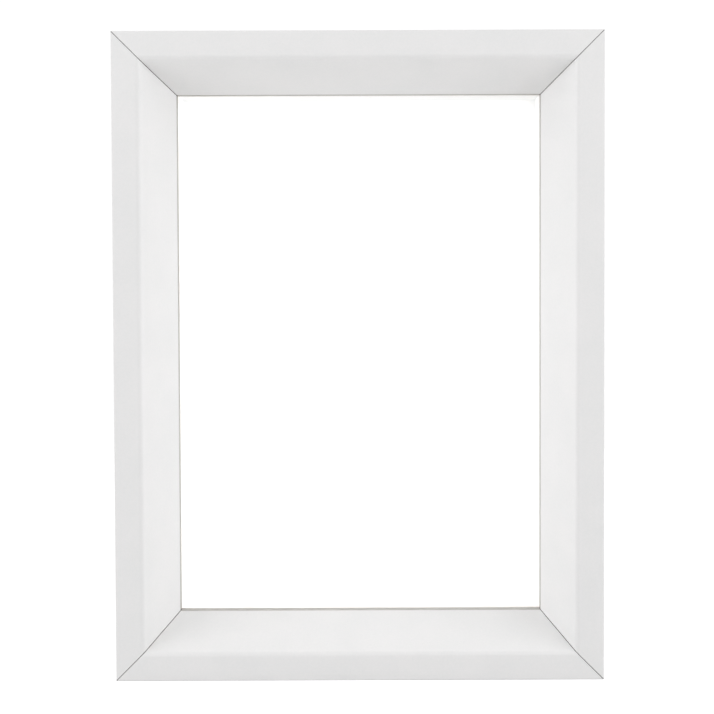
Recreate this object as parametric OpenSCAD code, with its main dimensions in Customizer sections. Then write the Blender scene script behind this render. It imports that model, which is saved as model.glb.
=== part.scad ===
// Rear-loading shadow box for one A4 sheet's worth of display area.
// Four mitred rails with a wide inner bevel hold a glass pane, a box of spacer strips,
// a display board and a back panel. Eight turn buttons on the rails' backs keep the panel in.
//
// Row frame: X to the viewer's right, Y from the front to the back, Z up.
// Origin: middle of the bottom face, halfway between the front and back of the rails.

/* [Contents] */
// Width of the glass, board and panel
sheet_w = 210; // [120:1:420]
// Height of the glass, board and panel
sheet_h = 297; // [120:1:594]
// Gap between the edge of a sheet and the wall of its pocket
pocket_gap = 0.5; // [0.2:0.1:1.5]
// Thickness of the glass
pane_t = 2; // [1:0.5:4]
// Depth of the spacer strips, which is the depth of the display space
spacer_depth = 20; // [8:1:60]
// Thickness of the spacer strips
spacer_t = 3; // [2:0.5:8]
// Thickness of the white display board
board_t = 2; // [1:0.5:5]
// Thickness of the back panel
panel_t = 3; // [2:0.5:6]

/* [Rails] */
// Width of a rail seen from the front, outer edge to sight edge
rail_w = 31.5; // [26:0.5:60]
// Width of the flat outer band of a rail's face
flat_w = 15; // [8:1:20]
// How far the inner bevel drops from the flat band to the lip
bevel_drop = 26; // [8:1:40]
// Thickness of the lip that the glass rests against
lip_t = 5; // [1.5:0.5:6]
// How far the lip covers the edge of the glass
lip_cover = 3; // [2:0.5:8]
// Radius of the soft edge between the flat band and the bevel
ridge_r = 3.5; // [1:0.5:6]
// Radius of the soft edge where the bevel turns into the lip's side
nose_r = 1.5; // [0.5:0.1:2.5]
// Radius of the outer front edge
outer_r = 0.6; // [0.5:0.1:3]

/* [Corner nails] */
// Length of each leg of a corner nail
v_leg = 5; // [3:0.5:8]
// Thickness of a corner nail's steel
v_t = 0.6; // [0.4:0.1:1.2]
// Height of a corner nail
v_height = 10; // [5:1:15]
// How far a corner nail is driven below the back face
v_sink = 0.4; // [0:0.1:2]

/* [Turn buttons] */
// Overall length of a turn button
button_len = 25; // [20:1:40]
// Width of a turn button
button_w = 11; // [8:0.5:16]
// Thickness of a turn button
button_t = 1.2; // [0.8:0.1:2]
// Distance from a turn button's tail end to its pivot
button_tail = 6; // [5:0.5:10]
// Distance from the pivot to the edge of the pocket
button_set = 8; // [6:0.5:12]
// Distance from the middle of a short rail to each of its buttons
button_short = 62; // [35:1:90]
// Distance from the middle of a long rail to each of its buttons
button_long = 88; // [40:1:140]

/* [Fasteners] */
// Radius of a button screw's shank
screw_r = 1.75; // [1.2:0.05:2.5]
// Length of a button screw under its head
screw_len = 14; // [8:1:20]
// Radius of a button screw's head
screw_head_r = 3.6; // [3:0.1:5]
// Height of a button screw's head
screw_head_h = 2; // [1.5:0.1:3]
// Radius of a hanger nail's shank
nail_r = 0.9; // [0.6:0.1:1.5]
// Length of a hanger nail under its head
nail_len = 11; // [6:1:20]
// Radius of a hanger nail's head
nail_head_r = 1.9; // [1.5:0.1:2.8]
// Height of a hanger nail's head
nail_head_h = 0.7; // [0.5:0.1:1.2]

/* [Hangers] */
// Overall length of a sawtooth hanger
hanger_len = 46; // [36:1:60]
// Width of a sawtooth hanger
hanger_w = 10; // [8:0.5:14]
// Thickness of a sawtooth hanger's steel
hanger_t = 0.8; // [0.5:0.1:1.5]
// Length of the flat foot at each end of a hanger
hanger_foot = 7.5; // [6:0.5:10]
// How far the toothed middle of a hanger stands off the rail
hanger_rise = 1.6; // [1:0.1:3]
// Distance from the rail's outer edge to a hanger
hanger_set = 4; // [2:0.5:8]
// Pitch of the teeth
tooth_pitch = 2.5; // [1.5:0.25:4]
// Depth of the teeth
tooth_depth = 1.8; // [1:0.1:3]

/* [Bumpers] */
// Radius of a wall bumper
bumper_r = 6; // [4:0.5:9]
// Thickness of a wall bumper
bumper_t = 4; // [3.5:0.5:8]
// Distance from the frame's side to a bumper's middle
bumper_side = 24; // [18:1:40]
// Distance from the frame's bottom to a bumper's middle
bumper_up = 12; // [9:1:20]

/* [Hidden] */
$fn = 48;

BOTTOM = 0;
RIGHT = 1;
TOP = 2;
LEFT = 3;
SIDES = [BOTTOM, RIGHT, TOP, LEFT];
// Which end of its rail a turn button sits at, along the rail's own X
NEAR = -1;
FAR = 1;
ENDS = [NEAR, FAR];
// The two ends of a hanger
FEET = [-1, 1];

lip_w = lip_cover + pocket_gap;
pocket_w = sheet_w + 2 * pocket_gap;
pocket_h = sheet_h + 2 * pocket_gap;
sight_w = sheet_w - 2 * lip_cover;
sight_h = sheet_h - 2 * lip_cover;
outer_w = sight_w + 2 * rail_w;
outer_h = sight_h + 2 * rail_w;
// Width of a rail's back face
back_w = rail_w - lip_w;

// Depths, measured from the front of the rails
pane_y = bevel_drop + lip_t;
spacer_y = pane_y + pane_t;
board_y = spacer_y + spacer_depth;
panel_y = board_y + board_t;
depth = panel_y + panel_t;

bevel_w = rail_w - flat_w;
bevel_angle = atan(bevel_drop / bevel_w);
// Running clearances of a turn button: over the wood, round its screw and under the head
button_lift = 0.3;
button_hole_gap = 0.08;
head_gap = 0.1;
button_top = button_lift + button_t;
pivot_inset = back_w - button_set;
// Radial gap of a driven screw or nail in its hole
pilot_gap = 0.05;

// Corner nails stand on the mitre, one near the outer edge and one near the pocket
v_spots = [back_w * 0.32, back_w * 0.72];
v_spread = 58;
cut_over = 1;

// Points of a circular arc, from angle a0 to angle a1
function arc(centre, r, a0, a1, steps = 8) = [
    for (i = [0 : steps])
        let (a = a0 + (a1 - a0) * i / steps)
            centre + r * [cos(a), sin(a)]
];

// A rail's section as [depth, inset] points, going round from the back of the outer side
ridge_tangent = ridge_r * tan(bevel_angle / 2);
nose_tangent = nose_r * tan((90 - bevel_angle) / 2);
rail_section = concat(
    [[depth, 0]],
    arc([outer_r, outer_r], outer_r, -90, -180),
    arc([ridge_r, flat_w - ridge_tangent], ridge_r, 180, 180 - bevel_angle),
    arc([bevel_drop + nose_tangent, rail_w - nose_r], nose_r, 180 - bevel_angle, 90),
    [[pane_y, rail_w], [pane_y, back_w], [depth, back_w]]
);

// Half the length of a side's rail, and how far that side is from the middle of the frame
function half_len(side) = (side % 2 == 0 ? outer_w : outer_h) / 2;
function half_gap(side) = (side % 2 == 0 ? outer_h : outer_w) / 2;
function button_at(side) = side % 2 == 0 ? button_short : button_long;

// Puts a child that is drawn on a rail onto one side of the frame.
// On a rail, X runs along it, Y goes back from its front and Z goes in from its outer edge.
module on_side(side) {
    translate([0, -depth / 2, outer_h / 2])
        rotate([0, -90 * side, 0])
            translate([0, 0, -half_gap(side)])
                children();
}

// A prism along Y, from an [X, Z] outline
module along_y(from, length) {
    translate([0, from + length, 0])
        rotate([90, 0, 0])
            linear_extrude(length)
                children();
}

// A round bar along Y
module bar_y(x, y, z, r, length, r_end = -1) {
    translate([x, y, z])
        rotate([-90, 0, 0])
            cylinder(r1 = r, r2 = r_end < 0 ? r : r_end, h = length);
}

// A flat sheet of the contents, centred in the pocket
module sheet(y, t) {
    translate([-sheet_w / 2, y - depth / 2, outer_h / 2 - sheet_h / 2])
        cube([sheet_w, t, sheet_h]);
}

// One rail before its holes are made: its section along its length, cut at 45 degrees at both ends
module rail_blank(side) {
    reach = half_len(side);
    intersection() {
        translate([-reach, 0, 0])
            rotate([90, 0, 90])
                linear_extrude(2 * reach)
                    polygon(rail_section);
        along_y(-cut_over, depth + 2 * cut_over)
            polygon([
                [-reach, 0], [reach, 0],
                [reach - rail_w - cut_over, rail_w + cut_over],
                [-reach + rail_w + cut_over, rail_w + cut_over]
            ]);
    }
}

// The V of a corner nail, with its point on the mitre and one leg in each rail
module v_outline() {
    for (turn = [-v_spread, v_spread])
        rotate(turn)
            translate([-v_t / 2, -v_t / 2])
                square([v_leg, v_t]);
}

module corner_nail_set() {
    for (x_end = [-1, 1], z_end = [-1, 1], spot = v_spots)
        translate([x_end * (outer_w / 2 - spot), depth / 2 - v_sink, outer_h / 2 + z_end * (outer_h / 2 - spot)])
            rotate([90, 0, 0])
                linear_extrude(v_height)
                    rotate(atan2(-z_end, -x_end))
                        v_outline();
}

module button_pilots(side) {
    for (end = ENDS)
        bar_y(end * button_at(side), depth - screw_len, pivot_inset, screw_r + pilot_gap, screw_len + cut_over);
}

module nail_pilots() {
    for (foot = FEET)
        bar_y(
            foot * (hanger_len - hanger_foot) / 2, depth - nail_len, hanger_set + hanger_w / 2,
            nail_r + pilot_gap, nail_len + cut_over
        );
}

module rail(side, hanger = false) {
    color("whitesmoke")
        difference() {
            on_side(side)
                difference() {
                    rail_blank(side);
                    button_pilots(side);
                    if (hanger) nail_pilots();
                }
            corner_nail_set();
        }
}

module corner_nails() {
    color("darkgray") corner_nail_set();
}

module glass_pane() {
    color("lightcyan", 0.3) sheet(pane_y, pane_t);
}

// Strips stand on edge in the pocket. The long ones run its full height, the short ones fit between them.
module spacer(side) {
    reach = side % 2 == 0 ? sheet_w / 2 - spacer_t : sheet_h / 2;
    color("white")
        on_side(side)
            translate([-reach, spacer_y, back_w + pocket_gap])
                cube([2 * reach, spacer_depth, spacer_t]);
}

module display_board() {
    color("white") sheet(board_y, board_t);
}

module back_panel() {
    color("tan") sheet(panel_y, panel_t);
}

// A round-ended plate on its pivot screw, pointing in over the back panel
module turn_button(side, end) {
    end_r = button_w / 2;
    tail_centre = end_r - button_tail;
    tip_centre = button_len - button_tail - end_r;
    color("silver")
        on_side(side)
            translate([end * button_at(side), depth + button_lift, pivot_inset])
                difference() {
                    along_y(0, button_t)
                        union() {
                            translate([-end_r, tail_centre])
                                square([button_w, tip_centre - tail_centre]);
                            translate([0, tail_centre])
                                circle(end_r);
                            translate([0, tip_centre])
                                circle(end_r);
                        }
                    bar_y(0, -cut_over, 0, screw_r + button_hole_gap, button_t + 2 * cut_over);
                }
}

// A pan-head wood screw: pointed shank, head and a cross recess
module turn_button_screws() {
    tip = 3;
    cross_w = 1;
    cross_reach = screw_head_r * 0.6;
    cross_deep = screw_head_h * 0.55;
    head_y = depth + button_top + head_gap;
    color("gainsboro")
        for (side = SIDES, end = ENDS)
            on_side(side)
                translate([end * button_at(side), 0, pivot_inset])
                    difference() {
                        union() {
                            bar_y(0, depth - screw_len, 0, 0.3, tip, screw_r);
                            bar_y(0, depth - screw_len + tip, 0, screw_r, screw_len - tip + button_top + head_gap);
                            bar_y(0, head_y, 0, screw_head_r, screw_head_h, screw_head_r * 0.72);
                        }
                        for (turn = [0, 90])
                            translate([0, head_y + screw_head_h, 0])
                                rotate([0, turn, 0])
                                    cube([2 * cross_reach, 2 * cross_deep, cross_w], center = true);
                    }
}

// A stamped strip: two flat feet, and a raised middle whose inner edge is cut into teeth
module hanger(side) {
    ramp = hanger_rise;
    middle = hanger_len / 2 - hanger_foot;
    side_view = [
        [-hanger_len / 2, 0], [-middle, 0], [-middle + ramp, hanger_rise],
        [middle - ramp, hanger_rise], [middle, 0], [hanger_len / 2, 0]
    ];
    back_view = [for (i = [len(side_view) - 1 : -1 : 0]) side_view[i] + [0, hanger_t]];
    toothed = middle - 2 * ramp;
    teeth = floor(2 * toothed / tooth_pitch);
    color("silver")
        on_side(side)
            difference() {
                translate([0, depth, hanger_set])
                    linear_extrude(hanger_w)
                        polygon(concat(side_view, back_view));
                along_y(depth, 2 * (hanger_rise + hanger_t))
                    for (i = [0 : teeth - 1])
                        translate([(i - teeth / 2) * tooth_pitch, hanger_set + hanger_w])
                            polygon([
                                [0, cut_over], [0, 0], [tooth_pitch / 2, -tooth_depth],
                                [tooth_pitch, 0], [tooth_pitch, cut_over]
                            ]);
                for (foot = FEET)
                    bar_y(
                        foot * (hanger_len - hanger_foot) / 2, depth - cut_over, hanger_set + hanger_w / 2,
                        nail_r + pilot_gap, hanger_t + 2 * cut_over
                    );
            }
}

module hanger_nails() {
    tip = 2;
    color("silver")
        for (side = [TOP, LEFT], foot = FEET)
            on_side(side)
                translate([foot * (hanger_len - hanger_foot) / 2, 0, hanger_set + hanger_w / 2]) {
                    bar_y(0, depth - nail_len, 0, 0.2, tip, nail_r);
                    bar_y(0, depth - nail_len + tip, 0, nail_r, nail_len - tip + hanger_t);
                    bar_y(0, depth + hanger_t, 0, nail_head_r, nail_head_h);
                }
}

module wall_bumpers() {
    color("dimgray")
        for (end = ENDS)
            on_side(BOTTOM)
                bar_y(end * (outer_w / 2 - bumper_side), depth, bumper_up, bumper_r, bumper_t, bumper_r - 0.8);
}

rail(BOTTOM);  // bottom_rail
rail(RIGHT);  // right_rail
rail(TOP, hanger = true);  // top_rail
rail(LEFT, hanger = true);  // left_rail
corner_nails();
glass_pane();
spacer(BOTTOM);  // spacer_bottom
spacer(RIGHT);  // spacer_right
spacer(TOP);  // spacer_top
spacer(LEFT);  // spacer_left
display_board();
back_panel();
turn_button(BOTTOM, NEAR);  // turn_button_bottom_left
turn_button(BOTTOM, FAR);  // turn_button_bottom_right
turn_button(RIGHT, NEAR);  // turn_button_right_lower
turn_button(RIGHT, FAR);  // turn_button_right_upper
turn_button(TOP, NEAR);  // turn_button_top_right
turn_button(TOP, FAR);  // turn_button_top_left
turn_button(LEFT, NEAR);  // turn_button_left_upper
turn_button(LEFT, FAR);  // turn_button_left_lower
turn_button_screws();
hanger(TOP);  // portrait_hanger
hanger(LEFT);  // landscape_hanger
hanger_nails();
wall_bumpers();
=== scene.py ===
# %% [markdown]
# # A white A4 shadow box
#
# This lesson dresses a rear-loading shadow box: four mitred rails of white foil-wrapped fibre board,
# a glass pane, a white box of spacers and board behind it, and a hardboard back held by turn buttons.
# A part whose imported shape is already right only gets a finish. The others are modelled again with
# the small details that catch light: soft edges, mitre grooves, stamped dimples and screw recesses.

import math

import bmesh
import bpy
from mathutils import Matrix, Vector


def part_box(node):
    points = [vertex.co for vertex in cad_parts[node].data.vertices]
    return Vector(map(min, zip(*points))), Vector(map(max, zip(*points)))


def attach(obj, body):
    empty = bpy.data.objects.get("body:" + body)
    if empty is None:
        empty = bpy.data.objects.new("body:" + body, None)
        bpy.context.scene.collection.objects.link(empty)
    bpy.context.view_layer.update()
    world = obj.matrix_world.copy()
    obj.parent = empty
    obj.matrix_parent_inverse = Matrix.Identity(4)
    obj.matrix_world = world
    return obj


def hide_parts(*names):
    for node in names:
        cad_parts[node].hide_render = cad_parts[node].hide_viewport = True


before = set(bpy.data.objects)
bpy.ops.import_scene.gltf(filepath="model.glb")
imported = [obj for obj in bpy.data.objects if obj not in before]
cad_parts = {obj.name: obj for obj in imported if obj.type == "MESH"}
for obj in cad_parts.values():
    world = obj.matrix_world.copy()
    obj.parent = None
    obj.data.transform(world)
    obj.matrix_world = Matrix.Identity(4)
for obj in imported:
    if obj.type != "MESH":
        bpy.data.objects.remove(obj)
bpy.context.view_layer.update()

# %% [markdown]
# ## Sizes
#
# A maker works from the moulding's section and the sheet size. The outside sizes are read from the packed
# parts, and the few sizes inside the moulding's section are written down once, in millimetres.

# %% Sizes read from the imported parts, in metres
MM = 0.001
scene = bpy.context.scene

bottom_low, bottom_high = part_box("bottom_rail")
side_low, side_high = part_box("right_rail")
pane_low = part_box("glass_pane")[0]
panel_low, panel_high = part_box("back_panel")

OUTER_W = bottom_high.x - bottom_low.x
OUTER_H = side_high.z - side_low.z
RAIL_W = bottom_high.z - bottom_low.z
DEPTH = bottom_high.y - bottom_low.y
FRONT_Y = bottom_low.y
PANE_DEPTH = pane_low.y - FRONT_Y
POCKET_GAP = 0.5 * MM
BACK_W = (OUTER_W - (panel_high.x - panel_low.x)) / 2 - POCKET_GAP
print("outside, mm:", round(OUTER_W / MM, 1), round(OUTER_H / MM, 1), round(DEPTH / MM, 1))

# %% Sizes of the moulding's section, in metres
FLAT_W = 15 * MM
BEVEL_DROP = 26 * MM
RIDGE_R = 3.5 * MM
NOSE_R = 1.5 * MM
OUTER_R = 0.6 * MM
BEVEL_ANGLE = math.atan2(BEVEL_DROP, RAIL_W - FLAT_W)

# %% [markdown]
# ## Camera
#
# The box is looked at almost square on, from a little above its middle, with a short tele lens.
# The lens is shifted a little, as on a camera whose picture was cropped.

# %% Camera
CAMERA_BACK = 684 * MM
CAMERA_RIGHT = 10 * MM
CAMERA_UP = 54 * MM
SENSOR_W = 36
LENS = 63.62
SHIFT = (-0.0280, -0.0896)
# Degrees round X, Y and Z.
TURNED = (88.408, 0.197, -0.002)

camera_data = bpy.data.cameras.new("camera")
camera_data.sensor_width = SENSOR_W
camera_data.lens = LENS
camera_data.shift_x, camera_data.shift_y = SHIFT
camera = bpy.data.objects.new("camera", camera_data)
camera.location = (CAMERA_RIGHT, FRONT_Y - CAMERA_BACK, OUTER_H / 2 + CAMERA_UP)
camera.rotation_euler = [math.radians(angle) for angle in TURNED]
scene.collection.objects.link(camera)
scene.camera = camera
scene.view_settings.view_transform = "Standard"
print("camera at", [round(v, 3) for v in camera.location])

# %% [markdown]
# ## Small helpers for materials
#
# Colours are written as the sRGB hex values that a maker picks from a swatch, and Blender wants them
# linear. `add` puts one node in a material: a value that is another node's output is linked, anything
# else is set. `per` turns a real feature size into the scale of a pattern on Object coordinates, which
# are metres.

# %% Helpers for materials
def linear(swatch):
    """An sRGB hex swatch as linear red, green, blue and alpha."""
    parts = [int(swatch[i:i + 2], 16) / 255 for i in (1, 3, 5)]
    return [c / 12.92 if c <= 0.04045 else ((c + 0.055) / 1.055) ** 2.4 for c in parts] + [1]


def per(size_mm):
    """The scale at which a pattern's features are about size_mm across."""
    return 1 / (size_mm * MM)


def add(owner, kind, inputs=None, output="", **settings):
    """Adds one node to a material or a world, its inputs set or linked. Returns the output asked for."""
    tree = owner.node_tree
    made = tree.nodes.new("ShaderNode" + kind)
    for name, value in settings.items():
        setattr(made, name, value)
    for name, value in (inputs or {}).items():
        socket = next(s for s in made.inputs if s.enabled and s.name == name)
        if isinstance(value, bpy.types.NodeSocket):
            tree.links.new(value, socket)
        else:
            socket.default_value = value
    return next(s for s in made.outputs if s.enabled and output in ("", s.name))


def start(name, **constants):
    """A new material, its shader with these constant sockets, and its Object coordinates."""
    material = bpy.data.materials.new(name)
    material.use_nodes = True
    shader = material.node_tree.nodes["Principled BSDF"]
    for socket, value in constants.items():
        shader.inputs[socket.replace("_", " ")].default_value = value
    return material, shader, add(material, "TexCoord", output="Object")


def feed(shader, **sources):
    """Links outputs to a shader's sockets of those names."""
    for socket, source in sources.items():
        shader.id_data.links.new(source, shader.inputs[socket.replace("_", " ")])


print("a swatch of #808080 gives off", round(linear("#808080")[0], 3), "of the light that white does")

# %% [markdown]
# ## White foil
#
# The moulding is fibre board wrapped in a white decor foil, pressed on with heat. The foil is satin: a
# lamp shows in it as a wide soft sheen, never as a sharp spot. Close up it has a fine orange peel from the
# board's grain under it, and very slight clouds where the glue is thicker. Its white is a little grey,
# never pure.

# %% Material: white decor foil
def make_foil():
    foil, shader, place = start("white_decor_foil", IOR=1.46)
    clouds = add(foil, "TexNoise", {"Vector": place, "Scale": per(22), "Detail": 3.0})
    flecks = add(foil, "TexNoise", {"Vector": place, "Scale": per(1.1), "Detail": 2.0})
    mottle = add(foil, "Mix", {"Factor": 0.45, "A": clouds, "B": flecks})
    share = add(foil, "MapRange", {"Value": mottle, "From Min": 0.35, "From Max": 0.65})
    tone = add(
        foil, "Mix", {"Factor": share, "A": linear("#E3E3E2"), "B": linear("#E7E6E5")}, data_type="RGBA"
    )
    gloss = add(foil, "MapRange", {
        "Value": flecks, "From Min": 0.3, "From Max": 0.7, "To Min": 0.38, "To Max": 0.48,
    })
    # The real peel is about 0.3 mm across. It is drawn a little coarser, so that it shows at all.
    peel = add(foil, "TexNoise", {"Vector": place, "Scale": per(0.7), "Detail": 4.0, "Roughness": 0.6})
    bump = add(foil, "Bump", {"Height": peel, "Strength": 0.25, "Distance": 0.03 * MM})
    feed(shader, Base_Color=tone, Roughness=gloss, Normal=bump)
    return foil


foil = make_foil()
print("made", foil.name)

# %% [markdown]
# ## Bare fibre board
#
# The foil stops a few millimetres round the back. The rest of the back and the pocket are bare medium
# density fibre board: light brown and matt, with short fibres and darker specks under a millimetre long.

# %% Material: bare fibre board
def make_fibre_board():
    board, shader, place = start("medium_density_fibre_board", Roughness=0.88, IOR=1.4)
    fibres = add(board, "TexNoise", {"Vector": place, "Scale": per(1.6), "Detail": 6.0, "Roughness": 0.7})
    share = add(board, "MapRange", {"Value": fibres, "From Min": 0.3, "From Max": 0.72})
    tone = add(
        board, "Mix", {"Factor": share, "A": linear("#A07E57"), "B": linear("#C4A57C")}, data_type="RGBA"
    )
    distance = add(board, "TexVoronoi", {"Vector": place, "Scale": per(1.3)}, "Distance")
    speck = add(board, "MapRange", {
        "Value": distance, "From Min": 0.0, "From Max": 0.16, "To Min": 0.55, "To Max": 0.0,
    })
    spotted = add(board, "Mix", {"Factor": speck, "A": tone, "B": linear("#6E5236")}, data_type="RGBA")
    bump = add(board, "Bump", {"Height": fibres, "Strength": 0.5, "Distance": 0.1 * MM})
    feed(shader, Base_Color=spotted, Normal=bump)
    return board


fibre_board = make_fibre_board()
print("made", fibre_board.name)

# %% [markdown]
# ## Painted shade on cut board
#
# Cut fibre board drinks up whatever is brushed on it. The lip's inner wall, where the foil ends, is
# coloured a warm grey that is painted shade: it stands in for the shade on a wall that faces into the box,
# and frames the window with a darker line. The mitres are wet with glue, which dries dark, and that dark
# is partly painted shade in the hairline gaps. Both are matt, with the fibres still raised under the coat.

# %% Materials: painted shade on the lip, and dark glue that is partly painted shade
def make_painted_shade_board(name, dark, light):
    shade_coat, shader, place = start(name, Roughness=0.7, IOR=1.48)
    fibres = add(shade_coat, "TexNoise", {"Vector": place, "Scale": per(1.2), "Detail": 5.0, "Roughness": 0.65})
    share = add(shade_coat, "MapRange", {"Value": fibres, "From Min": 0.32, "From Max": 0.68})
    tone = add(
        shade_coat, "Mix", {"Factor": share, "A": linear(dark), "B": linear(light)}, data_type="RGBA"
    )
    bump = add(shade_coat, "Bump", {"Height": fibres, "Strength": 0.4, "Distance": 0.06 * MM})
    feed(shader, Base_Color=tone, Normal=bump)
    return shade_coat


# The lip's warm grey is painted shade on its inner wall.
lip_shade = make_painted_shade_board("lip_painted_shade", "#ACA9A5", "#BBB8B4")
# The glue's dark colour is partly painted shade in the mitre gaps.
glue_and_painted_shade = make_painted_shade_board("dark_glue_and_painted_shade", "#4F4B45", "#625E57")
print("made", lip_shade.name, glue_and_painted_shade.name)

# %% [markdown]
# ## Hardboard
#
# The back panel is wet-process hardboard, pressed between hot plates: dark golden brown, with a smooth,
# faintly glossy face in which the long wood fibres still show as fine lighter and darker threads running
# every way.

# %% Material: hardboard
def make_hardboard():
    board, shader, place = start("smooth_hardboard", IOR=1.45)
    threads = add(board, "TexNoise", {
        "Vector": place, "Scale": per(2.2), "Detail": 8.0, "Roughness": 0.65, "Distortion": 2.2,
    })
    clouds = add(board, "TexNoise", {"Vector": place, "Scale": per(35), "Detail": 2.0})
    mixed = add(board, "Mix", {"Factor": 0.15, "A": threads, "B": clouds})
    share = add(board, "MapRange", {"Value": mixed, "From Min": 0.33, "From Max": 0.67})
    tone = add(
        board, "Mix", {"Factor": share, "A": linear("#6E4A2C"), "B": linear("#96703F")}, data_type="RGBA"
    )
    gloss = add(board, "MapRange", {
        "Value": threads, "From Min": 0.3, "From Max": 0.7, "To Min": 0.42, "To Max": 0.62,
    })
    bump = add(board, "Bump", {"Height": threads, "Strength": 0.3, "Distance": 0.05 * MM})
    feed(shader, Base_Color=tone, Roughness=gloss, Normal=bump)
    return board


hardboard = make_hardboard()
print("made", hardboard.name)

# %% [markdown]
# ## White card
#
# The display board and the spacer strips are covered with heavy uncoated card. It is the whitest thing in
# the box and quite matt, with a soft tooth left by the felt that the paper was dried on.

# %% Material: white card
def make_card():
    card, shader, place = start("uncoated_white_card", Roughness=0.92, IOR=1.4)
    tooth = add(card, "TexNoise", {"Vector": place, "Scale": per(0.9), "Detail": 5.0, "Roughness": 0.55})
    share = add(card, "MapRange", {"Value": tooth, "From Min": 0.3, "From Max": 0.7})
    tone = add(
        card, "Mix", {"Factor": share, "A": linear("#F6F6F4"), "B": linear("#FAFAF9")}, data_type="RGBA"
    )
    bump = add(card, "Bump", {"Height": tooth, "Strength": 0.3, "Distance": 0.04 * MM})
    feed(shader, Base_Color=tone, Normal=bump)
    return card


card = make_card()
print("made", card.name)

# %% [markdown]
# ## Float glass
#
# Float glass is clear, and 2 mm of it is too thin to look green. Bent light through a flat pane lands
# almost where it would have landed without it, so the pane lets lamps straight through: a ray that looks
# for a lamp, or that left a matt surface, sees a transparent shader, and every other ray sees real glass
# with its reflections.

# %% Material: float glass
def make_glass():
    glass, shader, place = start("clear_float_glass", IOR=1.52, Transmission_Weight=1.0, Roughness=0.0)
    haze = add(glass, "TexNoise", {"Vector": place, "Scale": per(60), "Detail": 2.0})
    tone = add(
        glass, "Mix", {"Factor": haze, "A": linear("#FDFDFD"), "B": linear("#FFFFFF")}, data_type="RGBA"
    )
    feed(shader, Base_Color=tone)
    tree = glass.node_tree
    clear = add(glass, "BsdfTransparent", {"Color": linear("#FAFAFA")})
    seen = shader.outputs["BSDF"]
    for kind_of_ray in ("Is Diffuse Ray", "Is Shadow Ray"):
        pane = add(glass, "MixShader", {"Fac": add(glass, "LightPath", output=kind_of_ray)})
        tree.links.new(seen, pane.node.inputs[1])
        tree.links.new(clear, pane.node.inputs[2])
        seen = pane
    tree.links.new(seen, tree.nodes["Material Output"].inputs["Surface"])
    return glass


glass = make_glass()
print("made", glass.name)

# %% [markdown]
# ## Steel
#
# The turn buttons, screws and hangers are mild steel, bright zinc plated. Zinc from a barrel is bright
# but not a mirror: fine random scratches from the barrel blur it, and thin patches look bluer. The corner
# nails are plain steel, darker and duller.

# %% Materials: zinc plate and plain steel
def make_steel(name, dark, light, smooth, rough):
    steel, shader, place = start(name, Metallic=1.0)
    patches = add(steel, "TexNoise", {"Vector": place, "Scale": per(5), "Detail": 3.0})
    share = add(steel, "MapRange", {"Value": patches, "From Min": 0.35, "From Max": 0.65})
    tone = add(
        steel, "Mix", {"Factor": share, "A": linear(dark), "B": linear(light)}, data_type="RGBA"
    )
    scratches = add(steel, "TexNoise", {
        "Vector": place, "Scale": per(0.5), "Detail": 4.0, "Distortion": 1.5,
    })
    gloss = add(steel, "MapRange", {
        "Value": scratches, "From Min": 0.3, "From Max": 0.7, "To Min": smooth, "To Max": rough,
    })
    bump = add(steel, "Bump", {"Height": scratches, "Strength": 0.15, "Distance": 0.02 * MM})
    feed(shader, Base_Color=tone, Roughness=gloss, Normal=bump)
    return steel


zinc = make_steel("bright_zinc_plate", "#B9BEC6", "#D3D4D2", 0.2, 0.38)
plain_steel = make_steel("plain_nail_steel", "#7E8083", "#9A9B9B", 0.35, 0.55)
print("made", zinc.name, plain_steel.name)

# %% [markdown]
# ## Rubber
#
# The bumpers are moulded black rubber, which greys with a dusty bloom. It hardly shines at all.

# %% Material: moulded rubber
def make_rubber():
    rubber, shader, place = start("moulded_black_rubber", IOR=1.5)
    bloom = add(rubber, "TexNoise", {"Vector": place, "Scale": per(3), "Detail": 5.0})
    share = add(rubber, "MapRange", {"Value": bloom, "From Min": 0.35, "From Max": 0.7})
    tone = add(
        rubber, "Mix", {"Factor": share, "A": linear("#222224"), "B": linear("#37373A")}, data_type="RGBA"
    )
    gloss = add(rubber, "MapRange", {
        "Value": bloom, "From Min": 0.3, "From Max": 0.7, "To Min": 0.6, "To Max": 0.8,
    })
    bump = add(rubber, "Bump", {"Height": bloom, "Strength": 0.25, "Distance": 0.05 * MM})
    feed(shader, Base_Color=tone, Roughness=gloss, Normal=bump)
    return rubber


rubber = make_rubber()
print("made", rubber.name)

# %% [markdown]
# ## Helpers for pieces
#
# Everything on a rail is easiest to draw lying on the bottom rail: X along the rail, Y from the front
# towards the back, Z in from the outer edge. `onto_side` then turns it onto its own side of the box.
# `finish_piece` turns a bmesh into a named piece. Faces shade smooth except across real edges, and a
# weighted normal keeps wide flat faces flat where they meet a small round.

# %% Helpers for pieces
BOTTOM, RIGHT, TOP, LEFT = range(4)
SIDES = {BOTTOM: "bottom", RIGHT: "right", TOP: "top", LEFT: "left"}
SHARP = math.radians(32)
# Two points nearer than this, in metres, are at one place.
TOUCH = 1e-6
# How far a cutter stands out of what it cuts.
PAST = 1 * MM
# The third material is painted shade on the lip, and the fourth is dark glue that is partly painted shade.
RAIL_MATERIALS = [foil, fibre_board, lip_shade, glue_and_painted_shade]
WHITE, BARE, PAINTED_LIP_SHADE, GLUE_AND_SHADE = range(4)


def onto_side(side):
    """The matrix that takes a drawing on a rail to one side of the box."""
    gap = (OUTER_W if side in (RIGHT, LEFT) else OUTER_H) / 2
    to_middle = Matrix.Translation((0, FRONT_Y, OUTER_H / 2))
    turn = Matrix.Rotation(math.radians(-90 * side), 4, "Y")
    return to_middle @ turn @ Matrix.Translation((0, 0, -gap))


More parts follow.
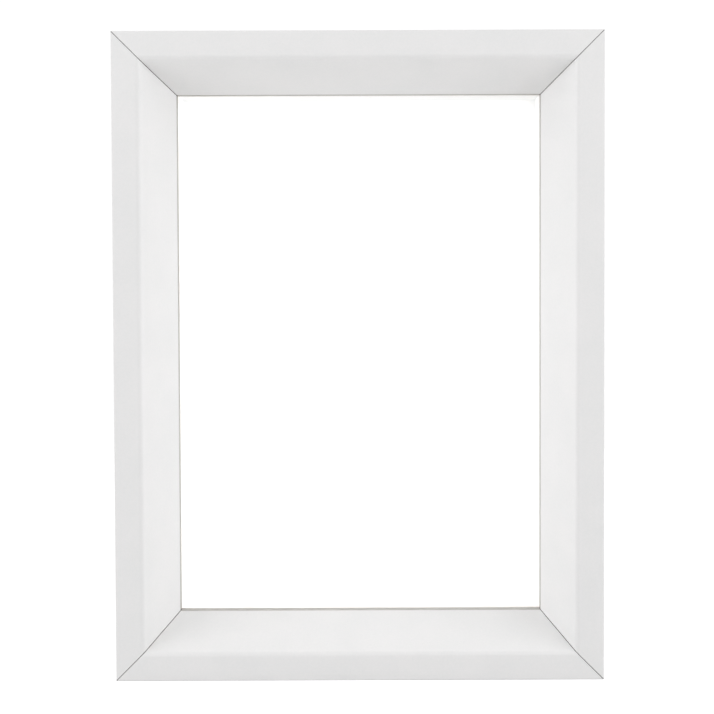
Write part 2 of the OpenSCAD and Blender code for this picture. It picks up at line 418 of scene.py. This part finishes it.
def finish_piece(bm, name, materials, body, slot, *stands_for):
    """Makes a bmesh into a piece that rides on a body and stands for CAD nodes."""
    bmesh.ops.remove_doubles(bm, verts=bm.verts, dist=TOUCH / 10)
    bmesh.ops.recalc_face_normals(bm, faces=bm.faces)
    for face in bm.faces:
        face.smooth = True
    for edge in bm.edges:
        edge.smooth = edge.is_manifold and edge.calc_face_angle() < SHARP
    mesh = bpy.data.meshes.new(name)
    bm.to_mesh(mesh)
    bm.free()
    for material in materials:
        mesh.materials.append(material)
    piece = bpy.data.objects.new(name, mesh)
    scene.collection.objects.link(piece)
    weighted = piece.modifiers.new("keep flats flat", "WEIGHTED_NORMAL")
    weighted.keep_sharp = True
    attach(piece, body)
    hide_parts(*stands_for)
    print("made", name, len(mesh.polygons), "faces")
    return piece


def stamp(bm, source, matrices):
    """Adds a copy of the bmesh source at each matrix, and frees it."""
    mesh = bpy.data.meshes.new("stamp")
    source.to_mesh(mesh)
    source.free()
    for matrix in matrices:
        before = set(bm.verts)
        bm.from_mesh(mesh)
        fresh = [v for v in bm.verts if v not in before]
        bmesh.ops.transform(bm, verts=fresh, matrix=matrix)
    bpy.data.meshes.remove(mesh)


def cut_away(bm, cutter, inside=0):
    """A bmesh less a closed bmesh, by an exact Boolean. Its cut faces get material inside. Frees both."""
    for face in cutter.faces:
        face.material_index = inside
    holders = []
    for part in (bm, cutter):
        bmesh.ops.recalc_face_normals(part, faces=part.faces)
        mesh = bpy.data.meshes.new("cutting")
        part.to_mesh(mesh)
        part.free()
        for material in RAIL_MATERIALS:
            mesh.materials.append(material)
        holders.append(bpy.data.objects.new("cutting", mesh))
        scene.collection.objects.link(holders[-1])
    whole, tool = holders
    boolean = whole.modifiers.new("cut", "BOOLEAN")
    boolean.operation = "DIFFERENCE"
    boolean.solver = "EXACT"
    boolean.object = tool
    result = bmesh.new()
    result.from_object(whole, bpy.context.evaluated_depsgraph_get())
    for holder in holders:
        mesh = holder.data
        bpy.data.objects.remove(holder)
        bpy.data.meshes.remove(mesh)
    return result


def round_over(bm, edges, offset, segments):
    """Rounds edges, starting the round this far from them on both sides."""
    bmesh.ops.bevel(
        bm, geom=edges, offset=offset, offset_type="OFFSET", segments=segments,
        profile=0.5, affect="EDGES", material=-1, clamp_overlap=False,
    )


print("sides:", ", ".join(SIDES.values()))

# %% [markdown]
# ## Rails
#
# A rail could be a box with a bevel, but its look is all in its section. So the section is drawn once
# with sharp corners, pushed out along the rail, and the long edges are then rounded one by one with the
# radius that the cutter gave each. A plane at 45 degrees cuts the mitre at each end.
#
# Two rails never meet quite as closely as two drawings do. The saw leaves the foil's rim a little soft,
# and the ends meet a hair below it, in a narrow groove filled with dark dried glue. The glue's dark colour
# is partly painted shade, standing in for the shade down in the hairline gap. The groove is drawn,
# because it is what makes a mitre a fine dark line: the end face is inset, and its middle is pushed out to
# the joint.

# %% Rail sizes
FOIL_TURN = 6 * MM
FOIL_STEP = 0.12 * MM
RIM_SOFT = 0.08 * MM
MITRE_GAP = 0.15 * MM
GROOVE_DEEP = 0.2 * MM
LIP_EDGE = 0.12 * MM
print("mitre groove, mm wide and deep:", round(2 * MITRE_GAP / MM, 2), round(GROOVE_DEEP / MM, 2))


# %% Shape one rail
def long_edges(bm, depth, inset):
    """The edges that run along the rail at one point of its section."""
    return [
        e for e in bm.edges
        if all(abs(v.co.y - depth) < TOUCH and abs(v.co.z - inset) < TOUCH for v in e.verts)
    ]


def tangent(radius, turn):
    """How far from a corner its round starts, for a radius and the angle that the surface turns."""
    return radius * math.tan(turn / 2)


def push_out_section(reach):
    """The rail's section, pushed out to this far either side of the rail's middle."""
    section = [
        (0, 0), (0, FLAT_W), (BEVEL_DROP, RAIL_W), (PANE_DEPTH, RAIL_W), (PANE_DEPTH, BACK_W),
        (DEPTH - FOIL_STEP, BACK_W), (DEPTH - FOIL_STEP, FOIL_TURN),
        (DEPTH, FOIL_TURN - FOIL_STEP), (DEPTH, 0),
    ]
    bm = bmesh.new()
    end = bm.faces.new([bm.verts.new((-reach, depth, inset)) for depth, inset in section])
    pushed = bmesh.ops.extrude_face_region(bm, geom=[end], use_keep_orig=True)
    moved = [v for v in pushed["geom"] if isinstance(v, bmesh.types.BMVert)]
    bmesh.ops.translate(bm, verts=moved, vec=(2 * reach, 0, 0))
    return bm


def wrap_in_foil(bm):
    """Marks what covers each face. The foil ends on the lip, whose inner wall is painted shade, and most of
    the back stays bare.
    """
    for face in bm.faces:
        middle = face.calc_center_median()
        face.material_index = WHITE
        # The lip's inner wall gets the warm grey of painted shade.
        if middle.z > RAIL_W - LIP_EDGE:
            face.material_index = PAINTED_LIP_SHADE
        if middle.y > PANE_DEPTH - FOIL_STEP and middle.z > FOIL_TURN - FOIL_STEP:
            face.material_index = BARE


def cut_mitre(bm, reach, way):
    """Cuts one end at 45 degrees, a hair short, closes it, softens its rim and grooves it all round."""
    cut = bmesh.ops.bisect_plane(
        bm, geom=bm.verts[:] + bm.edges[:] + bm.faces[:], clear_outer=True,
        plane_co=(way * (reach - MITRE_GAP * math.sqrt(2)), 0, 0), plane_no=(way, 0, 1),
    )
    rim = [e for e in cut["geom_cut"] if isinstance(e, bmesh.types.BMEdge)]
    # The mitre's end face gets the dark glue, which is partly painted shade in the gap.
    mitre = bmesh.ops.edgeloop_fill(bm, edges=rim, mat_nr=GLUE_AND_SHADE)["faces"][0]
    bmesh.ops.bevel(
        bm, geom=list(mitre.edges), offset=RIM_SOFT, offset_type="OFFSET", segments=2,
        profile=0.5, affect="EDGES", material=-1, clamp_overlap=False,
    )
    bmesh.ops.recalc_face_normals(bm, faces=bm.faces)
    shaded_glue_faces = [f for f in bm.faces if f.material_index == GLUE_AND_SHADE and way * f.normal.x > 0]
    end = max(shaded_glue_faces, key=lambda f: f.calc_area())
    bmesh.ops.inset_region(bm, faces=[end], thickness=GROOVE_DEEP, use_even_offset=True)
    bmesh.ops.translate(bm, verts=end.verts[:], vec=end.normal * MITRE_GAP)


def make_rail_blank(reach):
    """A rounded, wrapped and mitred rail, not yet drilled."""
    bm = push_out_section(reach)
    ridge, nose = long_edges(bm, 0, FLAT_W), long_edges(bm, BEVEL_DROP, RAIL_W)
    round_over(bm, ridge, tangent(RIDGE_R, BEVEL_ANGLE), segments=10)
    round_over(bm, nose, tangent(NOSE_R, math.pi / 2 - BEVEL_ANGLE), segments=5)
    round_over(bm, long_edges(bm, 0, 0), tangent(OUTER_R, math.pi / 2), segments=5)
    round_over(bm, long_edges(bm, DEPTH, 0), tangent(OUTER_R / 2, math.pi / 2), segments=4)
    wrap_in_foil(bm)
    for way in (-1, 1):
        cut_mitre(bm, reach, way)
    return bm


print("the bevel turns", round(math.degrees(BEVEL_ANGLE), 1), "degrees from the flat")

# %% [markdown]
# ## Holes in the rails
#
# Each mitre is pinned by two V-shaped nails that are driven in from the back and end up a little below
# it, so their slots show. One leg of a V lies in each rail. A rail is also drilled for its two button
# screws and, where a hanger sits, for its nails. A first cutter holds one leg of every V and the drill
# holes, and a second holds the other legs, because two shapes in one cutter shouldn't overlap.

# %% Cutters for the holes
V_LEG = 5 * MM
V_THICK = 0.66 * MM
V_DEEP = 10.4 * MM
V_SPREAD = math.radians(58)
V_SPOTS = (0.32 * BACK_W, 0.72 * BACK_W)

BUTTON_AT = {BOTTOM: 62 * MM, RIGHT: 88 * MM, TOP: 62 * MM, LEFT: 88 * MM}
PIVOT_INSET = BACK_W - 8 * MM
SCREW_R = 1.75 * MM
SCREW_LEN = 14 * MM
HANGER_LEN = 46 * MM
HANGER_W = 10 * MM
HANGER_FOOT = 7.5 * MM
HANGER_SET = 4 * MM
NAIL_AT = (HANGER_LEN - HANGER_FOOT) / 2
NAIL_INSET = HANGER_SET + HANGER_W / 2
NAIL_R = 0.9 * MM
NAIL_LEN = 11 * MM
PILOT_GAP = 0.05 * MM
print("V slots at, mm from the corner:", [round(spot / MM, 1) for spot in V_SPOTS])


def add_rod(bm, x, inset, radius, front, back, segments=24):
    """Adds a closed round rod along Y between two depths."""
    made = bmesh.ops.create_cone(
        bm, cap_ends=True, segments=segments, radius1=radius, radius2=radius, depth=back - front
    )
    place = Matrix.Translation((x, (front + back) / 2, inset)) @ Matrix.Rotation(math.pi / 2, 4, "X")
    bmesh.ops.transform(bm, verts=made["verts"], matrix=place)


def v_legs(reach, leg):
    """A cutter with one leg, -1 or 1, of each V at both ends of a rail."""
    bm = bmesh.new()
    for way in (-1, 1):
        for spot in V_SPOTS:
            made = bmesh.ops.create_cube(bm, size=1)
            turn = Matrix.Rotation(-way * math.radians(45) + leg * V_SPREAD, 4, "Y")
            size = Matrix.Diagonal((V_THICK, 2 * V_DEEP, V_LEG, 1))
            to_leg = Matrix.Translation((0, 0, (V_LEG - V_THICK) / 2)) @ size
            spot_place = Matrix.Translation((way * (reach - spot), DEPTH, spot))
            bmesh.ops.transform(bm, verts=made["verts"], matrix=spot_place @ turn @ to_leg)
    return bm


def drill_for(cutter, side, way):
    """Adds half a rail's drill holes to a cutter: a button screw's and, at a hanger, a nail's."""
    out = DEPTH + PAST
    add_rod(cutter, way * BUTTON_AT[side], PIVOT_INSET, SCREW_R + PILOT_GAP, DEPTH - SCREW_LEN, out)
    if side in (TOP, LEFT):
        add_rod(cutter, way * NAIL_AT, NAIL_INSET, NAIL_R + PILOT_GAP, DEPTH - NAIL_LEN, out, 16)


def make_rail(side):
    reach = (OUTER_H if side in (RIGHT, LEFT) else OUTER_W) / 2
    first, second = v_legs(reach, -1), v_legs(reach, 1)
    for way in (-1, 1):
        drill_for(first, side, way)
    rail = cut_away(cut_away(make_rail_blank(reach), first, BARE), second, BARE)
    bmesh.ops.transform(rail, verts=rail.verts, matrix=onto_side(side))
    name = SIDES[side] + "_rail"
    return finish_piece(rail, name + "_moulding", RAIL_MATERIALS, "frame", "white_foil", name)


# %% Build the rails
for side in SIDES:
    make_rail(side)

# %% [markdown]
# ## Back panel
#
# The panel is sawn from a large sheet, so it is a flat slab with square sides. The saw's edges are broken
# with a few strokes of sandpaper, which leaves a narrow line that catches light all round.

# %% Back panel
PANEL_EDGE = 0.35 * MM


def make_panel():
    bm = bmesh.new()
    made = bmesh.ops.create_cube(bm, size=1)
    middle = (panel_low + panel_high) / 2
    size = Matrix.Diagonal((*(panel_high - panel_low), 1))
    bmesh.ops.transform(bm, verts=made["verts"], matrix=Matrix.Translation(middle) @ size)
    round_over(bm, bm.edges[:], PANEL_EDGE, segments=2)
    return finish_piece(bm, "hardboard_back", [hardboard], "frame", "hardboard", "back_panel")


make_panel()

# %% [markdown]
# ## Turn buttons
#
# A turn button is stamped from sheet steel: a strip with round ends and a hole near one of them. The
# press leaves a soft upper edge, and a small dimple near the tip keeps a finger from slipping when it
# turns the button. A circle becomes the strip's outline when one half of it is pulled away from the
# other. The hole and the dimple are cut by a rod and a ball.

# %% Turn buttons
BUTTON_LEN = 25 * MM
BUTTON_W = 11 * MM
BUTTON_T = 1.2 * MM
BUTTON_TAIL = 6 * MM
BUTTON_LIFT = 0.3 * MM
BUTTON_EDGE = 0.28 * MM
HOLE_GAP = 0.08 * MM
DIMPLE_BALL = 3.2 * MM
DIMPLE_DEEP = 0.45 * MM
END_SEGMENTS = 48
TAIL_Z = BUTTON_W / 2 - BUTTON_TAIL
TIP_Z = BUTTON_LEN - BUTTON_TAIL - BUTTON_W / 2
BUTTONS = {
    "turn_button_bottom_left": (BOTTOM, -1), "turn_button_bottom_right": (BOTTOM, 1),
    "turn_button_right_lower": (RIGHT, -1), "turn_button_right_upper": (RIGHT, 1),
    "turn_button_top_right": (TOP, -1), "turn_button_top_left": (TOP, 1),
    "turn_button_left_upper": (LEFT, -1), "turn_button_left_lower": (LEFT, 1),
}


def pivot(side, way):
    """The place of a button's pivot on the rail's back face."""
    return onto_side(side) @ Matrix.Translation((way * BUTTON_AT[side], DEPTH, PIVOT_INSET))


def make_button_blank():
    """A button at its pivot, with Y out of the rail's back and Z towards its tip."""
    bm = bmesh.new()
    made = bmesh.ops.create_circle(bm, cap_ends=True, segments=END_SEGMENTS, radius=BUTTON_W / 2)
    disc = made["verts"]
    half_step = Matrix.Rotation(math.pi / END_SEGMENTS, 4, "Z")
    stand_up = Matrix.Translation((0, BUTTON_LIFT, TAIL_Z)) @ Matrix.Rotation(math.pi / 2, 4, "X")
    bmesh.ops.transform(bm, verts=disc, matrix=stand_up @ half_step)
    tip_half = [v for v in disc if v.co.z > TAIL_Z]
    bmesh.ops.translate(bm, verts=tip_half, vec=(0, 0, TIP_Z - TAIL_Z))
    pushed = bmesh.ops.extrude_face_region(bm, geom=bm.faces[:], use_keep_orig=True)
    moved = [v for v in pushed["geom"] if isinstance(v, bmesh.types.BMVert)]
    bmesh.ops.translate(bm, verts=moved, vec=(0, BUTTON_T, 0))
    rims = [e for e in bm.edges if abs(e.verts[0].co.y - e.verts[1].co.y) < TOUCH]
    round_over(bm, rims, BUTTON_EDGE, segments=3)
    cutter = bmesh.new()
    add_rod(cutter, 0, 0, SCREW_R + HOLE_GAP, -PAST, 3 * PAST, 32)
    ball = bmesh.ops.create_uvsphere(cutter, u_segments=40, v_segments=24, radius=DIMPLE_BALL)
    sunk = (0, BUTTON_LIFT + BUTTON_T + DIMPLE_BALL - DIMPLE_DEEP, TIP_Z)
    bmesh.ops.translate(cutter, verts=ball["verts"], vec=sunk)
    return cut_away(bm, cutter)


for name, (side, way) in BUTTONS.items():
    button = make_button_blank()
    bmesh.ops.transform(button, verts=button.verts, matrix=pivot(side, way))
    finish_piece(button, name + "_plate", [zinc], name, "zinc_steel", name)

# %% [markdown]
# ## Screws and nails
#
# Screws and nails are turned shapes, so each is a profile spun round its axis. Only the corners that a
# die would leave round are rounded in the profile. A screw's cross recess is cut by a block with four
# arms that narrow inwards. Nobody lines screws up, so each one is left at its own angle.

# %% Turned shapes
def spin_profile(points, rounds, steps):
    """Spins a profile of (radius, height) points round Y.

    rounds says which points of the profile are rounded, by number: (offset, segments).
    """
    bm = bmesh.new()
    corners = [bm.verts.new((radius, height, 0)) for radius, height in points]
    for a, b in zip(corners, corners[1:]):
        bm.edges.new((a, b))
    for number, (offset, segments) in rounds.items():
        bmesh.ops.bevel(
            bm, geom=[corners[number]], offset=offset, offset_type="OFFSET", segments=segments,
            profile=0.5, affect="VERTICES", material=-1, clamp_overlap=False,
        )
    bmesh.ops.spin(
        bm, geom=bm.verts[:] + bm.edges[:], cent=(0, 0, 0), axis=(0, 1, 0), angle=2 * math.pi,
        steps=steps, use_merge=True,
    )
    bmesh.ops.remove_doubles(bm, verts=bm.verts, dist=TOUCH)
    bmesh.ops.recalc_face_normals(bm, faces=bm.faces)
    return bm


SCREW_STEPS = 40
HEAD_R = 3.6 * MM
print("facets round a screw head, mm:", round(2 * math.pi * HEAD_R / SCREW_STEPS / MM, 2))

# %% Button screws
HEAD_H = 2 * MM
HEAD_WALL = 0.9 * MM
HEAD_TOP_R = 0.7 * HEAD_R
HEAD_Y = BUTTON_LIFT + BUTTON_T + 0.1 * MM
TIP_LEN = 3 * MM
ARM_W = 1.0 * MM
ARM_REACH = 2.05 * MM
ARM_DEEP = 1.15 * MM
ARM_TAPER = 0.4
# Degrees that the first screw is turned, and that each next one is turned further.
FIRST_TURN = 11
NEXT_TURN = 37


def make_cross(reach, width, deep, top):
    """A block with four arms that goes deep below the height top and narrows on its way."""
    bm = bmesh.new()
    block = bmesh.ops.create_cube(bm, size=width)["verts"]
    bmesh.ops.scale(bm, verts=block, vec=(1, 2 * deep / width, 1))
    sides = [f for f in bm.faces if abs(f.normal.y) < 0.5]
    arms = bmesh.ops.extrude_discrete_faces(bm, faces=sides)["faces"]
    for arm in arms:
        bmesh.ops.translate(bm, verts=arm.verts[:], vec=arm.normal * (reach - width / 2))
    bmesh.ops.remove_doubles(bm, verts=bm.verts, dist=TOUCH)
    deep_end = [v for v in bm.verts if v.co.y < 0]
    bmesh.ops.scale(bm, verts=deep_end, vec=(ARM_TAPER, 1, ARM_TAPER))
    bmesh.ops.translate(bm, verts=bm.verts, vec=(0, top, 0))
    return bm


def make_screw():
    """A screw at its pivot, with Y out of the rail's back."""
    profile = [
        (0, -SCREW_LEN), (SCREW_R, -SCREW_LEN + TIP_LEN), (SCREW_R, HEAD_Y), (HEAD_R, HEAD_Y),
        (HEAD_R, HEAD_Y + HEAD_WALL), (HEAD_TOP_R, HEAD_Y + HEAD_H), (0, HEAD_Y + HEAD_H),
    ]
    rounds = {3: (0.15 * MM, 2), 4: (0.6 * MM, 5), 5: (0.75 * MM, 5)}
    screw = spin_profile(profile, rounds, SCREW_STEPS)
    return cut_away(screw, make_cross(ARM_REACH, ARM_W, ARM_DEEP, HEAD_Y + HEAD_H))


screws = bmesh.new()
left_at = [
    pivot(side, way) @ Matrix.Rotation(math.radians(NEXT_TURN * number + FIRST_TURN), 4, "Y")
    for number, (side, way) in enumerate(BUTTONS.values())
]
stamp(screws, make_screw(), left_at)
finish_piece(screws, "pan_head_screws", [zinc], "frame", "zinc_steel", "turn_button_screws")

# %% [markdown]
# ## Hangers
#
# A sawtooth hanger is a strip of thin steel. Two bends lift its middle off the rail, and teeth along the
# middle's inner edge catch a nail in the wall. The strip is drawn as a bent line, rounded at its bends,
# pulled out to its width and thickened. Its teeth and nail holes are then punched out.

# %% Hangers
HANGER_T = 0.8 * MM
HANGER_RISE = 1.6 * MM
BEND_SOFT = 0.7 * MM
FOOT_CORNER = 2.2 * MM
TOOTH_PITCH = 2.5 * MM
TOOTH_DEEP = 1.8 * MM
TEETH = 9


def make_strip():
    """The bent strip before it is punched, lying on a rail's back face."""
    end, knee = HANGER_LEN / 2, HANGER_LEN / 2 - HANGER_FOOT
    line = [
        (-end, 0), (-knee, 0), (-knee + HANGER_RISE, HANGER_RISE),
        (knee - HANGER_RISE, HANGER_RISE), (knee, 0), (end, 0),
    ]
    bm = bmesh.new()
    corners = [bm.verts.new((x, DEPTH + y, HANGER_SET)) for x, y in line]
    for a, b in zip(corners, corners[1:]):
        bm.edges.new((a, b))
    bmesh.ops.bevel(
        bm, geom=corners[1:-1], offset=BEND_SOFT, offset_type="OFFSET", segments=4,
        profile=0.5, affect="VERTICES", material=-1, clamp_overlap=False,
    )
    pulled = bmesh.ops.extrude_edge_only(bm, edges=bm.edges[:])
    moved = [v for v in pulled["geom"] if isinstance(v, bmesh.types.BMVert)]
    bmesh.ops.translate(bm, verts=moved, vec=(0, 0, HANGER_W))
    bmesh.ops.recalc_face_normals(bm, faces=bm.faces)
    if bm.faces[:][0].normal.y < 0:
        bmesh.ops.reverse_faces(bm, faces=bm.faces)
    bmesh.ops.solidify(bm, geom=bm.faces[:], thickness=-HANGER_T)
    bmesh.ops.recalc_face_normals(bm, faces=bm.faces)
    at_ends = [e for e in bm.edges if all(abs(abs(v.co.x) - end) < TOUCH for v in e.verts)]
    upright = [e for e in at_ends if abs(e.verts[0].co.y - e.verts[1].co.y) > TOUCH]
    round_over(bm, upright, FOOT_CORNER, segments=6)
    return bm


def make_punch():
    """The teeth's zigzag and the two nail holes, as one cutter."""
    bm = bmesh.new()
    inner, spare = HANGER_SET + HANGER_W, 2 * MM
    zigzag = [(-TEETH / 2 * TOOTH_PITCH, inner + spare)]
    for tooth in range(TEETH):
        left = (tooth - TEETH / 2) * TOOTH_PITCH
        zigzag += [(left, inner), (left + TOOTH_PITCH / 2, inner - TOOTH_DEEP)]
    zigzag += [(TEETH / 2 * TOOTH_PITCH, inner), (TEETH / 2 * TOOTH_PITCH, inner + spare)]
    outline = bm.faces.new([bm.verts.new((x, DEPTH + HANGER_RISE / 2, z)) for x, z in zigzag])
    pushed = bmesh.ops.extrude_face_region(bm, geom=[outline], use_keep_orig=True)
    moved = [v for v in pushed["geom"] if isinstance(v, bmesh.types.BMVert)]
    bmesh.ops.translate(bm, verts=moved, vec=(0, HANGER_RISE + HANGER_T, 0))
    for way in (-1, 1):
        add_rod(bm, way * NAIL_AT, NAIL_INSET, NAIL_R + PILOT_GAP, DEPTH - PAST, DEPTH + 2 * PAST, 20)
    return bm


def make_hanger(side, node):
    hanger = cut_away(make_strip(), make_punch())
    bmesh.ops.transform(hanger, verts=hanger.verts, matrix=onto_side(side))
    return finish_piece(hanger, "sawtooth_" + node, [zinc], "frame", "zinc_steel", node)


make_hanger(TOP, "portrait_hanger")
make_hanger(LEFT, "landscape_hanger")

# %% Hanger nails
NAIL_HEAD_R = 1.9 * MM
NAIL_HEAD_H = 0.7 * MM
NAIL_HEAD_WALL = 0.2 * MM
NAIL_HEAD_TOP_R = 0.55 * NAIL_HEAD_R
NAIL_STEPS = 28
NAIL_TIP = 2 * MM


def make_nail():
    """A round-head nail through a hanger's foot, with Y out of the rail's back."""
    top = HANGER_T + NAIL_HEAD_H
    profile = [
        (0, -NAIL_LEN), (NAIL_R, -NAIL_LEN + NAIL_TIP), (NAIL_R, HANGER_T), (NAIL_HEAD_R, HANGER_T),
        (NAIL_HEAD_R, HANGER_T + NAIL_HEAD_WALL), (NAIL_HEAD_TOP_R, top), (0, top),
    ]
    return spin_profile(profile, {4: (0.15 * MM, 3), 5: (0.5 * MM, 4)}, NAIL_STEPS)


nails = bmesh.new()
nail_places = [
    onto_side(side) @ Matrix.Translation((way * NAIL_AT, DEPTH, NAIL_INSET))
    for side in (TOP, LEFT) for way in (-1, 1)
]
stamp(nails, make_nail(), nail_places)
finish_piece(nails, "round_head_nails", [zinc], "frame", "zinc_steel", "hanger_nails")

# %% [markdown]
# ## Wall bumpers
#
# Two moulded rubber pads under the back hold the frame's foot off the wall. The mould gives each a slight
# taper, so that it comes out, a round upper edge, and a shallow dish in the middle that grips.

# %% Wall bumpers
BUMPER_R = 6 * MM
BUMPER_TOP_R = 5.2 * MM
BUMPER_T = 4 * MM
BUMPER_UP = 12 * MM
BUMPER_AT = OUTER_W / 2 - 24 * MM
DISH_R = 3 * MM
DISH_DEEP = 0.5 * MM
BUMPER_STEPS = 48


def make_bumper():
    profile = [
        (0, 0), (BUMPER_R, 0), (BUMPER_TOP_R, BUMPER_T), (DISH_R, BUMPER_T), (0, BUMPER_T - DISH_DEEP),
    ]
    return spin_profile(profile, {1: (0.2 * MM, 2), 2: (0.9 * MM, 6), 3: (0.5 * MM, 3)}, BUMPER_STEPS)


bumpers = bmesh.new()
bumper_places = [
    onto_side(BOTTOM) @ Matrix.Translation((way * BUMPER_AT, DEPTH, BUMPER_UP)) for way in (-1, 1)
]
stamp(bumpers, make_bumper(), bumper_places)
finish_piece(bumpers, "moulded_bumpers", [rubber], "frame", "grey_rubber", "wall_bumpers")

# %% [markdown]
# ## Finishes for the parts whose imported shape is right
#
# The pane, the card-covered board and spacers and the corner nails are plain cut shapes on the real
# object too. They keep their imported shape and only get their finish.

# %% Finish the carried-over parts
FINISHES = {"glass_pane": glass, "display_board": card, "corner_nails": plain_steel}
FINISHES.update({"spacer_" + name: card for name in SIDES.values()})
for node, material in FINISHES.items():
    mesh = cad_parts[node].data
    mesh.materials.clear()
    mesh.materials.append(material)
print("finished", ", ".join(FINISHES))

# %% [markdown]
# ## Studio
#
# The box stands on a round of pale grey paper in a bright tent, which lights it evenly from all round.
# Even light alone would flatten the moulding, so a softbox on each side brightens the bevel that faces
# it, and a small one high in front makes the top a little brighter than the bottom.
#
# White paper in a picture is usually lit on its own, until it is pure white. A wash lamp does that for
# the board, and light linking keeps it off everything else. The tent and the floor are brighter to the
# camera than to the box, so the background goes pure white without more light bouncing back up.

# %% Floor and tent
FLOOR_R = 0.85
FLOOR_LIFT = 0.6
TENT_LIGHT = 0.74
TENT_SEEN = 1.05


def make_paper():
    paper, shader, place = start("floor_paper", Roughness=0.9, Emission_Color=linear("#FFFFFF"))
    fibre = add(paper, "TexNoise", {"Vector": place, "Scale": per(4), "Detail": 3.0})
    tone = add(
        paper, "Mix", {"Factor": fibre, "A": linear("#DADADA"), "B": linear("#DEDEDE")}, data_type="RGBA"
    )
    seen = add(paper, "LightPath", output="Is Camera Ray")
    lift = add(paper, "MapRange", {"Value": seen, "To Max": FLOOR_LIFT})
    feed(shader, Base_Color=tone, Emission_Strength=lift)
    return paper


def make_floor():
    bm = bmesh.new()
    bmesh.ops.create_circle(bm, cap_ends=True, segments=96, radius=FLOOR_R)
    mesh = bpy.data.meshes.new("studio_floor")
    bm.to_mesh(mesh)
    bm.free()
    mesh.materials.append(make_paper())
    floor = bpy.data.objects.new("studio_floor", mesh)
    scene.collection.objects.link(floor)


def make_tent():
    world = bpy.data.worlds.new("tent")
    scene.world = world
    world.use_nodes = True
    background = world.node_tree.nodes["Background"]
    background.inputs["Color"].default_value = linear("#FFFFFF")
    seen = add(world, "LightPath", output="Is Camera Ray")
    strength = add(world, "MapRange", {"Value": seen, "To Min": TENT_LIGHT, "To Max": TENT_SEEN})
    feed(background, Strength=strength)


make_floor()
make_tent()
print("floor and tent ready")

# %% Softboxes
SOFTBOXES = {
    # degrees round from the front, degrees up, metres away, metres across, watts
    "left": (-68, 5, 1.2, 0.6, 4.8),
    "right": (68, 5, 1.2, 0.6, 4.75),
    "high": (0, 68, 0.8, 0.35, 0.78),
    "board_wash": (0, 0, 1.5, 2.0, 22.2),
}
COOL_WHITE = linear("#FAFAFD")[:3]


def make_softbox(name, turn, height, distance, size, watts):
    """A square softbox that faces the middle of the box and that the camera doesn't see."""
    light = bpy.data.lights.new("softbox_" + name, "AREA")
    light.shape = "SQUARE"
    light.size = size
    light.energy = watts
    light.color = COOL_WHITE
    lamp = bpy.data.objects.new("softbox_" + name, light)
    round_by, up_by = math.radians(turn), math.radians(height)
    level = Vector((math.sin(round_by), -math.cos(round_by), 0)) * math.cos(up_by)
    away = level + Vector((0, 0, math.sin(up_by)))
    lamp.location = Vector((0, 0, OUTER_H / 2)) + away * distance
    lamp.rotation_euler = away.to_track_quat("Z", "Y").to_euler()
    lamp.visible_camera = False
    scene.collection.objects.link(lamp)
    return lamp


lamps = {name: make_softbox(name, *values) for name, values in SOFTBOXES.items()}
papers = bpy.data.collections.new("white papers")
for node, material in FINISHES.items():
    if material is card:
        papers.objects.link(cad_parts[node])
lamps["board_wash"].light_linking.receiver_collection = papers
lamps["board_wash"].light_linking.blocker_collection = papers
print("softboxes:", ", ".join(lamps))
